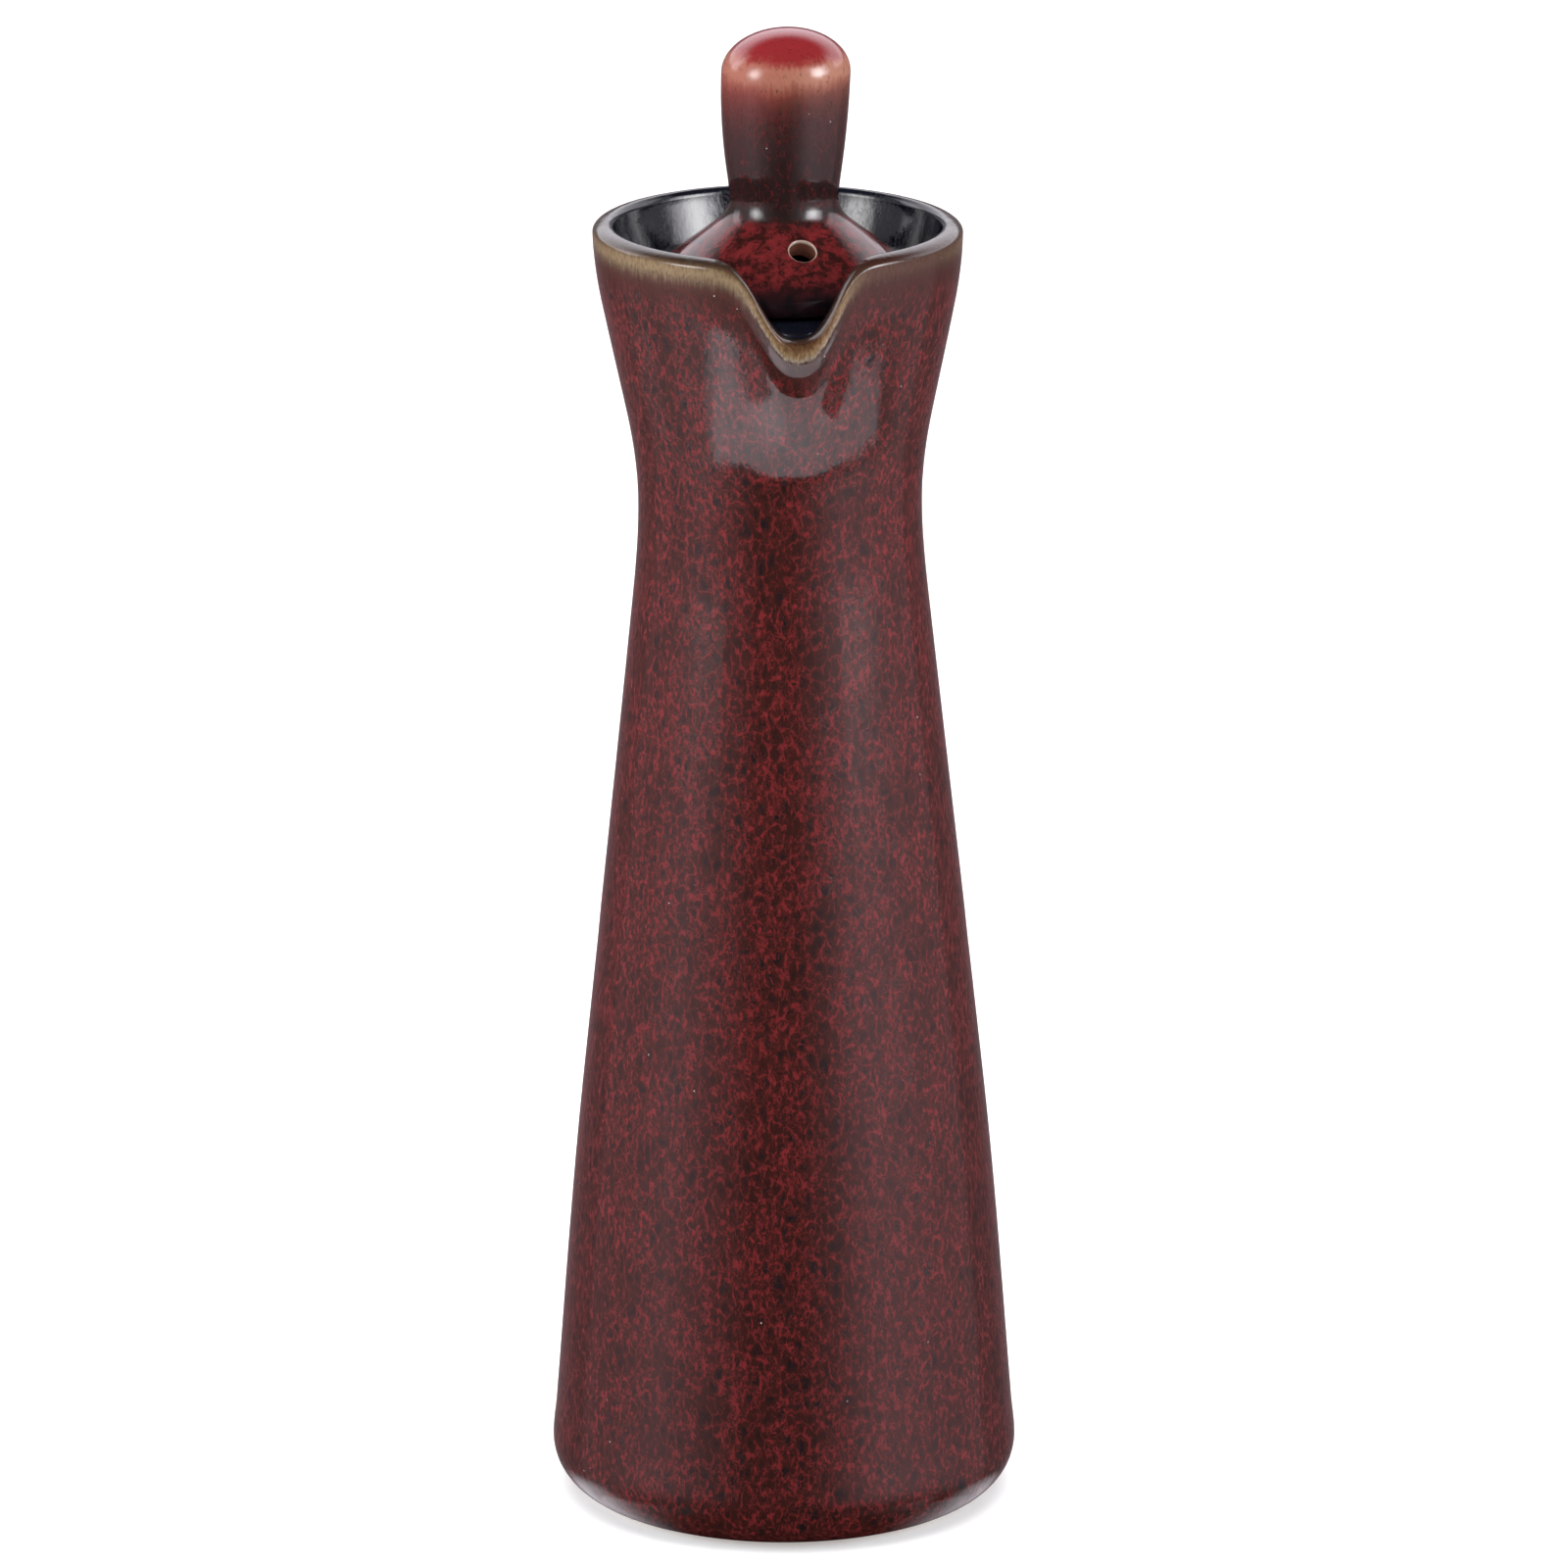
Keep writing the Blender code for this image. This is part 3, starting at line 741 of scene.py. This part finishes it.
# And on the lid: how far its glaze runs in millimetres, and ranges over height and over speckle
STREAK_SIZE = 2.2
DRIFT_SIZE = 3.0
RED_SHARE = 0.60
RED_SIDE = (-0.05, 1.6)  # how redness changes across the knob, per millimetre, and with the speckle
RED_PATCHES = (0.62, 1.10, 0.0, 0.65)
RED_HEIGHT = (222.0, 230.5)
FLECKS = (0.42, 0.62)
FLECK_HEIGHT = (224.0, 232.0, 0.7, 0.0)
KNOB_DARKS = (0.44, 0.30, 0.0, 0.6)
CLOUD_EDGE = (0.38, 0.62)
SHOULDER_DARKS = (0.48, 0.32, 0.0, 0.70)
SHOULDER_VEINS = 0.35
SHOULDER_FOOT = (200.2, 203.5, 0.10, 1.0)
SHOULDER_TOP = (210.4, 212.8)
SHOULDER_TOP_SPECKLE = 3.5
KNOB_START = (210.2, 212.6)


def band(graph, value, stops):
    """A colour ramp over value, with its stops at places in value's own unit."""
    low = stops[0][0]
    size = stops[-1][0] - low
    share = graph.math("DIVIDE", graph.math("SUBTRACT", value, low), size)
    return graph.ramp(share, [((place - low) / size, colour) for place, colour in stops])


def level(graph, value, stops):
    """Like band, for plain numbers."""
    return band(graph, value, [(place, (number, number, number)) for place, number in stops])


def body_glaze():
    material, graph, shader, place = new_glaze("sake_body_glaze")
    across, depth, height = graph.split(place)
    field, relief = crimson_veins(graph, place, BODY_STRETCH)
    # Painted shade: the glaze is darker towards the foot and brighter up the body
    field = graph.blend(1.0, field, graph.between(height, *BODY_SHADE_BY_HEIGHT), "MULTIPLY")
    streaks = graph.drawn_noise(place, *BODY_STREAKS)
    mottle = graph.drawn_noise(place, *BODY_MOTTLE)
    below = graph.attribute("below_rim")
    in_notch = graph.between(graph.attribute("notch"), *NOTCH_SIDES)
    run_size = graph.between(in_notch, *RUN_SIZE)
    uneven = graph.math("MULTIPLY", graph.math("SUBTRACT", streaks, 0.5), run_size)
    run = graph.math("MULTIPLY_ADD", uneven, graph.between(below, *RUN_START), below)
    around = graph.math("ARCTAN2", across, graph.math("MULTIPLY", depth, -1.0))
    around = graph.math("DEGREES", around)
    strength = level(graph, around, RIM_STRENGTH)
    strength = graph.math("MULTIPLY", strength, graph.between(mottle, *RIM_MOTTLE))
    rim_tan = graph.blend(strength, RIM_BAND[-1][1], band(graph, run, RIM_BAND))
    mottling = graph.between(mottle, *NOTCH_MOTTLE)
    # In the notch the tan band carries a painted highlight along the bead's lower edge
    notch_tan_and_highlight = graph.blend(1.0, band(graph, run, NOTCH_BAND_WITH_HIGHLIGHT), mottling, "MULTIPLY")
    rim_tan = graph.blend(in_notch, rim_tan, notch_tan_and_highlight)
    mottled = graph.blend(graph.between(mottle, *RIM_FLECKS), rim_tan, field)
    outside = graph.blend(graph.between(run, *RIM_END), mottled, field)
    pits_and_glints = pit_and_glint_mask(graph, place)
    # The pin-pricks are painted pale: painted glints
    outside = graph.blend(graph.math("MULTIPLY", pits_and_glints, PIT_GLINT_STRENGTH), outside, PIT_GLINT)
    colour = graph.blend(graph.attribute("inside"), outside, INSIDE_BLACK)
    bare = graph.between(height, *BARE_RING)
    clay = graph.blend(graph.drawn_noise(place, *CLAY_GRAIN), BARE_CLAY, DARK_CLAY)
    colour = graph.blend(bare, colour, clay)
    graph.put(shader.inputs["Base Color"], colour)
    glossy = gloss(graph, shader, place, pits_and_glints, relief, BODY_BUMP)
    graph.put(shader.inputs["Roughness"], graph.math("MULTIPLY_ADD", bare, BARE_ROUGHNESS, glossy))
    return material


def hole_edge(graph, place, colour):
    """The colour with the pouring hole's edge on it, and how much the glaze swells around it.

    The glaze breaks to a thin pale line over the edge, made paler by a painted highlight, and is brown
    inside it, lightened as painted light on the hole's shaded wall.
    """
    centre, direction = shoulder_point()
    from_hole = graph.vector("SUBTRACT", place, tuple(centre / MM))
    along = graph.vector("DOT_PRODUCT", from_hole, tuple(direction))
    square = graph.math("POWER", graph.vector("LENGTH", from_hole), 2.0)
    square = graph.math("SUBTRACT", square, graph.math("MULTIPLY", along, along))
    reach = graph.math("SQRT", graph.math("MAXIMUM", square, 0.0))
    reach = graph.math("SUBTRACT", reach, HOLE_RADIUS / MM)
    # Painted highlight on the edge's pale line, and painted light on the brown wall inside the hole
    edge = graph.blend(graph.between(along, *HOLE_LINE_START), HOLE_BROWN_AND_LIGHT, HOLE_EDGE_AND_HIGHLIGHT)
    swollen = graph.between(reach, *HOLE_SWELL)
    swollen = graph.math("MULTIPLY", swollen, graph.between(along, *HOLE_SWELL_START))
    return graph.blend(graph.between(reach, *HOLE_LINE), colour, edge), swollen


def lid_glaze():
    material, graph, shader, place = new_glaze("sake_lid_glaze")
    field, relief = crimson_veins(graph, place, LID_STRETCH)
    across, _, height = graph.split(place)
    speckle = graph.drawn_noise(place, *LID_SPECKLE)
    run = height
    for settings, size in ((LID_STREAKS, STREAK_SIZE), (LID_DRIFT, DRIFT_SIZE)):
        uneven = graph.math("SUBTRACT", graph.drawn_noise(place, *settings), 0.5)
        run = graph.math("MULTIPLY_ADD", uneven, size, run)
    knob = band(graph, run, KNOB_BAND)
    across_share, speckle_share = RED_SIDE
    redder = graph.math("MULTIPLY", speckle, speckle_share)
    redder = graph.math("MULTIPLY_ADD", across, across_share, redder)
    redder = graph.between(redder, *RED_PATCHES)
    redder = graph.math("MULTIPLY", redder, graph.between(height, *RED_HEIGHT))
    knob = graph.blend(redder, knob, graph.blend(RED_SHARE, KNOB_RED, knob))
    fleck = graph.between(speckle, *FLECKS)
    fleck = graph.math("MULTIPLY", fleck, graph.between(height, *FLECK_HEIGHT))
    knob = graph.blend(fleck, knob, field)
    knob = graph.blend(graph.between(speckle, *KNOB_DARKS), knob, GROUND)
    clouds = graph.between(graph.drawn_noise(place, *SHOULDER_CLOUDS), *CLOUD_EDGE)
    shoulder = graph.blend(clouds, GROUND, SHOULDER_RED)
    shoulder = graph.blend(graph.between(speckle, *SHOULDER_DARKS), shoulder, CORE)
    shoulder = graph.blend(SHOULDER_VEINS, shoulder, field)
    shoulder = graph.blend(graph.between(height, *SHOULDER_FOOT), CORE, shoulder)
    edge = graph.math("MULTIPLY_ADD", speckle, SHOULDER_TOP_SPECKLE, run)
    shoulder = graph.blend(graph.between(edge, *SHOULDER_TOP), shoulder, KNOB_BAND[0][1])
    colour = graph.blend(graph.between(run, *KNOB_START), shoulder, knob)
    colour, swollen = hole_edge(graph, place, colour)
    relief = graph.math("MULTIPLY_ADD", swollen, HOLE_RELIEF, relief)
    pits_and_glints = pit_and_glint_mask(graph, place)
    # The pin-pricks are painted pale: painted glints
    colour = graph.blend(graph.math("MULTIPLY", pits_and_glints, PIT_GLINT_STRENGTH), colour, PIT_GLINT)
    graph.put(shader.inputs["Base Color"], colour)
    graph.put(shader.inputs["Roughness"], gloss(graph, shader, place, pits_and_glints, relief, LID_BUMP))
    return material


# Studio: a floor that curves up to a wall, in metres
STUDIO_FLAT = 3.2
STUDIO_CURVE = 1.5
STUDIO_TOP = 3.5
STUDIO_CURVE_STEPS = 16
STUDIO_STEPS = 96
STUDIO_DROP = 0.0002
FLOOR_WHITE = (0.86, 0.86, 0.865)
FLOOR_PALE = (0.88, 0.88, 0.885)
# The floor shade card is painted shade: a dark sheet in front of the foot, seen only in reflections
CARD_FORWARD = 0.033
CARD_DROP = 0.0001
CARD_SIZE = (0.062, 0.044, 1.0)
CARD_STEPS = 64
CARD_FADE = (0.25, 1.0, 1.0, 0.0)


def studio_white():
    material, graph, shader = new_material("studio_white")
    shade = graph.noise(graph.node("ShaderNodeTexCoord").outputs["Object"], 3.0)
    graph.put(shader.inputs["Base Color"], graph.blend(shade, FLOOR_WHITE, FLOOR_PALE))
    shader.inputs["Roughness"].default_value = 0.9
    shader.inputs["Specular IOR Level"].default_value = 0.1
    shader.inputs["Emission Color"].default_value = (1.0, 1.0, 1.0, 1.0)
    shader.inputs["Emission Strength"].default_value = 0.25
    return material


# Painted shade: the dark, soft-edged material of the floor shade card
def floor_shade_material():
    material, graph, shader = new_material("floor_shade_black")
    shader.inputs["Base Color"].default_value = (0.01, 0.01, 0.01, 1.0)
    shader.inputs["Specular IOR Level"].default_value = 0.0
    away = graph.vector("LENGTH", graph.node("ShaderNodeTexCoord").outputs["Object"])
    graph.put(shader.inputs["Alpha"], graph.between(away, *CARD_FADE))
    return material


def make_floor():
    """A wide pale floor that curves up to a wall."""
    outline = [(0.0, 0.0)]
    curve = (STUDIO_CURVE, STUDIO_CURVE)
    outline += arc((STUDIO_FLAT, STUDIO_CURVE), curve, -90.0, 0.0, STUDIO_CURVE_STEPS)
    outline.append((STUDIO_FLAT + STUDIO_CURVE, STUDIO_TOP))
    lowered = [(radius, height - STUDIO_DROP) for radius, height in outline]
    floor = turned("studio_floor", lowered, STUDIO_STEPS)
    floor.data.materials.append(studio_white())
    floor.data.shade_smooth()
    floor.visible_glossy = False


def make_floor_shade_card():
    """Painted shade: a dark sheet with soft edges, flat on the floor, standing in for the shaded floor
    in front of the foot; only the foot's front mirrors it.
    """
    mesh = bpy.data.meshes.new("floor_shade_card")
    form = bmesh.new()
    bmesh.ops.create_circle(form, cap_ends=True, segments=CARD_STEPS, radius=1.0)
    form.to_mesh(mesh)
    form.free()
    mesh.materials.append(floor_shade_material())
    card = bpy.data.objects.new("floor_shade_card", mesh)
    bpy.context.scene.collection.objects.link(card)
    card.location = FRONT * CARD_FORWARD - Vector((0.0, 0.0, CARD_DROP))
    card.scale = CARD_SIZE
    card.visible_camera = False
    card.visible_diffuse = False
    card.visible_shadow = False
    card.visible_transmission = False


# Surroundings: degrees are turns from the camera's direction, to the right above 0, and rises from level
SIDE_GLOW = (
    (-180.0, 0.20),
    (-140.0, 0.13),
    (-122.0, 0.17),
    (-119.0, 0.30),
    (-97.0, 0.40),
    (-81.0, 0.54),
    (-67.0, 0.68),
    (-53.0, 0.52),
    (-41.0, 0.34),
    (-18.0, 0.03),
    (10.0, 0.03),
    (26.0, 0.28),
    (41.0, 0.68),
    (53.0, 0.86),
    (67.0, 0.80),
    (81.0, 0.68),
    (97.0, 0.52),
    (110.0, 0.44),
    (117.0, 0.40),
    (120.0, 0.19),
    (140.0, 0.12),
    (180.0, 0.20),
)
BASE_GLOW = 0.02
SIDE_FALL = (27.0, 48.0, 1.0, 0.0)
SIDE_FOOT = (-16.0, 0.0)
LOW_TURN = (-10.0, 10.0)
LOW_LEFT = (0.85, 0.85, 0.85)
LOW_RIGHT = (-34.0, -24.0, 0.15, 0.8)
WALL_GLOW = 1.5
WALL_RISE = (9.0, 15.0, 32.0, 52.0)
WALL_TURN = (98.0, 108.0)
PANEL_GLOW = 3.6
LEFT_PANEL_SHARE = 0.3
PANEL_RISE = (4.0, 9.0, 28.0, 38.0)
RIGHT_PANEL = (42.0, 50.0, 78.0, 90.0)
LEFT_PANEL = (-124.0, -118.0, -106.0, -98.0)
NEAR_EDGE_RIGHT = (25.0, 95.0, -36.5, -29.5)
NEAR_EDGE_LEFT = (-60.0, -20.0, 5.0, 0.0)
NEAR_EDGE = (-0.3, 0.6)
NEAR_TURN = (-61.0, -57.0, 84.0, 89.0)
NEAR_BELOW = (-41.0, -39.0, 1.0, 0.0)
NEAR_GLOW = (10.0, 80.0, 1.65, 1.25)
RAGGED_NOISE = (14.0, 4.0, 0.65)
RAGGED_RISE = 7.0
RAGGED_TURN = 40.0
BEHIND_GLOW = 2.0
BEHIND_TURN = (95.0, 125.0)
BEHIND_RISE = (-36.0, -26.0, 1.0, 0.0)
PALE_LIGHT = (1.0, 0.98, 1.05)
PINK_LIGHT = (1.35, 0.89, 0.98)
PINK_TOP = (-8.0, 6.0, 1.0, 0.0)
PINK_FOOT = (-27.0, -17.0, 0.35, 1.0)


def make_world():
    """Soft studio surroundings, mostly for the glaze to mirror.

    The sides glow, with a brighter panel in each, and it is dark where the camera is. The wall behind is
    bright, and so is the floor close by, whose patch in front has ragged edges.
    """
    world = bpy.data.worlds.new("studio")
    bpy.context.scene.world = world
    world.use_nodes = True
    graph = Graph(world.node_tree)
    ray = graph.node("ShaderNodeTexCoord").outputs["Generated"]
    ahead = graph.vector("DOT_PRODUCT", ray, tuple(FRONT))
    across = graph.vector("DOT_PRODUCT", ray, tuple(SIDEWAYS))
    turn = graph.math("DEGREES", graph.math("ARCTAN2", across, ahead))
    rise = graph.math("DEGREES", graph.math("ARCSINE", graph.split(ray)[2]))
    turn_size = graph.math("ABSOLUTE", turn)
    low = graph.blend(graph.between(turn, *LOW_TURN), LOW_LEFT, graph.between(rise, *LOW_RIGHT))
    fall = graph.between(rise, *SIDE_FALL)
    fall = graph.math("MULTIPLY", graph.between(rise, *SIDE_FOOT, low, 1.0), fall)
    side = graph.math("MULTIPLY", level(graph, turn, SIDE_GLOW), fall)
    total = graph.math("ADD", side, BASE_GLOW)
    wall = graph.math("MULTIPLY", graph.window(rise, *WALL_RISE), graph.between(turn_size, *WALL_TURN))
    total = graph.math("MULTIPLY_ADD", wall, WALL_GLOW, total)
    left, right = (graph.window(turn, *panel) for panel in (LEFT_PANEL, RIGHT_PANEL))
    both = graph.math("MULTIPLY_ADD", left, LEFT_PANEL_SHARE, right)
    panels = graph.math("MULTIPLY", graph.window(rise, *PANEL_RISE), both)
    total = graph.math("MULTIPLY_ADD", panels, PANEL_GLOW, total)
    near_edge = graph.between(turn, *NEAR_EDGE_RIGHT)
    near_edge = graph.math("ADD", near_edge, graph.between(turn, *NEAR_EDGE_LEFT))
    ragged = graph.math("SUBTRACT", graph.noise(ray, *RAGGED_NOISE), 0.5)
    depth = graph.math("SUBTRACT", near_edge, rise)
    near = graph.between(graph.math("MULTIPLY_ADD", ragged, RAGGED_RISE, depth), *NEAR_EDGE)
    ragged_turn = graph.math("MULTIPLY_ADD", ragged, RAGGED_TURN, turn)
    inside = graph.between(rise, *NEAR_BELOW)
    inside = graph.math("MAXIMUM", graph.window(ragged_turn, *NEAR_TURN), inside)
    floor_glow = graph.math("MULTIPLY", inside, graph.between(turn, *NEAR_GLOW))
    total = graph.math("MULTIPLY_ADD", near, floor_glow, total)
    behind = graph.between(turn_size, *BEHIND_TURN)
    behind = graph.math("MULTIPLY", behind, graph.between(rise, *BEHIND_RISE))
    total = graph.math("MULTIPLY_ADD", behind, BEHIND_GLOW, total)
    background = world.node_tree.nodes["Background"]
    graph.put(background.inputs["Strength"], total)
    pink = graph.math("MULTIPLY", graph.math("DIVIDE", side, total), graph.between(rise, *PINK_TOP))
    pink = graph.math("MULTIPLY", pink, graph.between(rise, *PINK_FOOT))
    graph.put(background.inputs["Color"], graph.blend(pink, PALE_LIGHT, PINK_LIGHT))


# Lamps: name, degrees from the camera's direction, distance, height, size, watts and evenly bright part
SOFTBOXES = (
    ("softbox_left", -60.0, 1.0, 0.50, (0.68, 0.95), 19.0, 0.0),
    ("softbox_right", 62.0, 1.0, 0.50, (0.68, 0.95), 19.0, 0.0),
)
FILLS = (
    ("fill_left", -92.0, 1.2, 0.35, (0.8, 0.8), 18.0, 0.5),
    ("fill_right", 92.0, 1.2, 0.35, (0.8, 0.8), 12.0, 0.5),
)
AIM_HEIGHT = 0.14
SOFTBOX_EDGE = 0.04
OVERHEAD_SIZE = 2.4
OVERHEAD_HEIGHT = 2.2
OVERHEAD_WATTS = 55.0


def softbox(name, azimuth, distance, height, size, power, core):
    """A soft panel facing the bottle, bright in its core and fading towards its edges."""
    light = bpy.data.lights.new(name, "AREA")
    light.shape = "RECTANGLE"
    light.size, light.size_y = size
    light.energy = power
    light.use_nodes = True
    graph = Graph(light.node_tree)
    place = graph.node("ShaderNodeNewGeometry").outputs["Parametric"]
    offset = graph.vector("SUBTRACT", place, (0.5, 0.5, 0.0))
    away = graph.vector("LENGTH", graph.vector("MULTIPLY", offset, (2.0, 2.0, 0.0)))
    emission = light.node_tree.nodes["Emission"]
    graph.put(emission.inputs["Strength"], graph.between(away, core, 1.0, 1.0, SOFTBOX_EDGE))
    lamp = bpy.data.objects.new(name, light)
    bpy.context.scene.collection.objects.link(lamp)
    angle = math.radians(azimuth)
    direction = FRONT * math.cos(angle) + SIDEWAYS * math.sin(angle)
    lamp.location = direction * distance + Vector((0.0, 0.0, height))
    aim = Vector((0.0, 0.0, AIM_HEIGHT)) - lamp.location
    lamp.rotation_euler = aim.to_track_quat("-Z", "Y").to_euler()
    return lamp


def make_lights():
    """Two softboxes that the glaze mirrors, and fills and an overhead that it doesn't."""
    for settings in SOFTBOXES:
        softbox(*settings)
    for settings in FILLS:
        softbox(*settings).visible_glossy = False
    overhead = bpy.data.lights.new("overhead", "AREA")
    overhead.shape = "DISK"
    overhead.size = OVERHEAD_SIZE
    overhead.energy = OVERHEAD_WATTS
    lamp = bpy.data.objects.new("overhead", overhead)
    bpy.context.scene.collection.objects.link(lamp)
    lamp.location = (0.0, 0.0, OVERHEAD_HEIGHT)
    lamp.visible_glossy = False


def make_camera():
    camera = bpy.data.cameras.new("camera")
    camera.lens = CAMERA_LENS
    camera.sensor_width = CAMERA_SENSOR
    eye = bpy.data.objects.new("camera", camera)
    bpy.context.scene.collection.objects.link(eye)
    eye.location = FRONT * CAMERA_DISTANCE + Vector((0.0, 0.0, CAMERA_HEIGHT))
    eye.rotation_euler = (math.radians(90.0) - CAMERA_PITCH, 0.0, CAMERA_AZIMUTH)
    bpy.context.scene.camera = eye


def main():
    make_camera()
    body = make_body()
    body.data.materials.append(body_glaze())
    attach(body, "bottle")
    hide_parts("bottle_body")
    lid = make_lid()
    lid.data.materials.clear()
    lid.data.materials.append(lid_glaze())
    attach(lid, "stopper")
    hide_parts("lid")
    make_floor()
    make_floor_shade_card()
    make_world()
    make_lights()
    bpy.context.scene.view_settings.view_transform = "Standard"


main()
